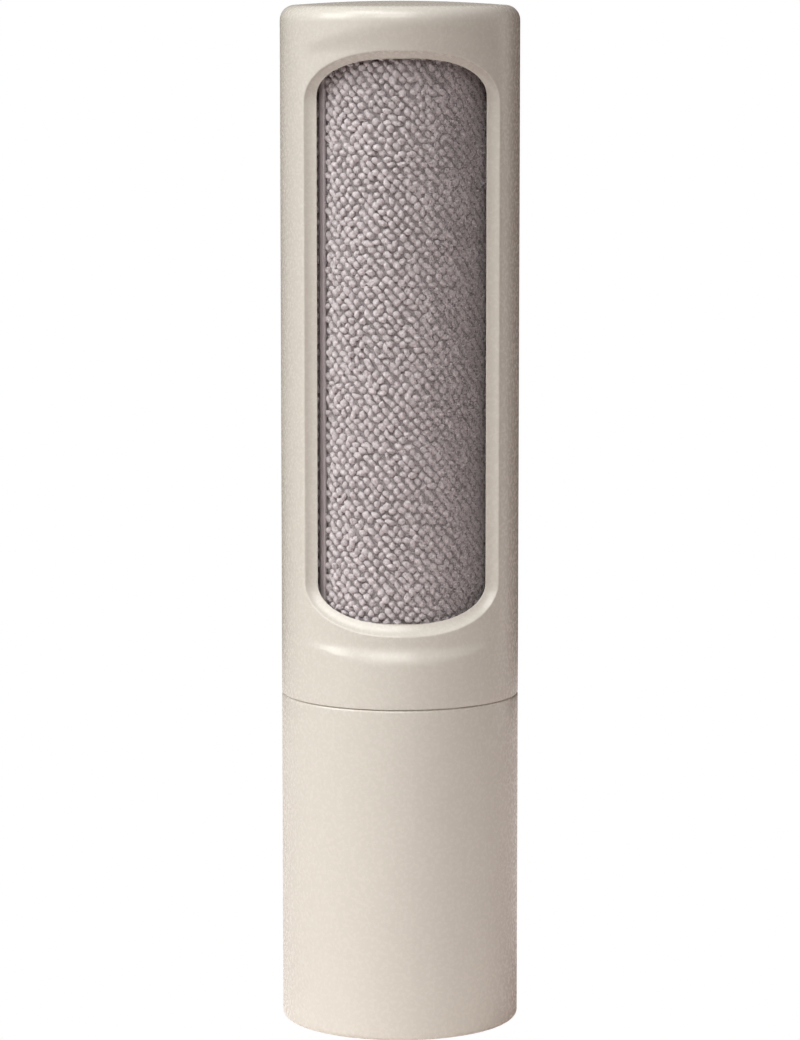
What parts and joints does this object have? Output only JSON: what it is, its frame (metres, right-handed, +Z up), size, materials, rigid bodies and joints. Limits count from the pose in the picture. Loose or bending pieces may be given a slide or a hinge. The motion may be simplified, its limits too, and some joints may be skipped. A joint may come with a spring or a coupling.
{
  "type": "lint roller",
  "caption": "Hand-held self-cleaning lint roller: upright cylinder with a tall window over a turning fabric drum, on a pull-off handle that collects the lint.",
  "frame": {"origin": "centre of the flat base, on the surface that the roller stands on", "axes": "+Z up along the roller's axis, from the handle to the casing's top; the window faces -Y; +X is to the right as one looks into the window"},
  "size_m": [0.048, 0.048, 0.2069],
  "materials": {
    "shell": "satin warm beige-grey, very fine texture",
    "inner": "matte warm grey moulding",
    "fabric": "short knitted pile, mauve grey",
    "strip": "smooth grey",
    "acetal": "smooth off-white, self-lubricating",
    "steel": "turned, zinc plated",
    "rubber": "matte dark grey"
  },
  "bodies": {
    "handle": {"handle_cup": "shell", "base_pad": "rubber"},
    "drive": {"drive_collar": "inner", "seal_ring": "rubber", "friction_ring": "rubber", "axle": "steel", "hub_screw": "steel", "drum_pin": "steel", "thrust_washer": "acetal", "axle_clip": "steel", "drum_core": "inner", "drum_cap_lower": "inner", "drum_cap_upper": "inner", "fabric_cover": "fabric", "seam_strip": "strip"},
    "casing": {"casing": "shell", "cleaning_comb": "inner", "top_bush": "acetal", "lower_bush": "acetal", "bearing_plate": "inner", "plate_screw_1": "steel", "plate_screw_2": "steel", "plate_screw_3": "steel"}
  },
  "joints": [
    {"name": "handle_pull", "type": "slide", "parent": "handle", "child": "drive", "axis": [0, 0, 1], "range_m": [0, 0.03]},
    {"name": "casing_twist", "type": "hinge", "parent": "drive", "child": "casing", "pos_m": [0, 0, 0.0696], "axis": [0, 0, 1], "continuous": true}
  ]
}
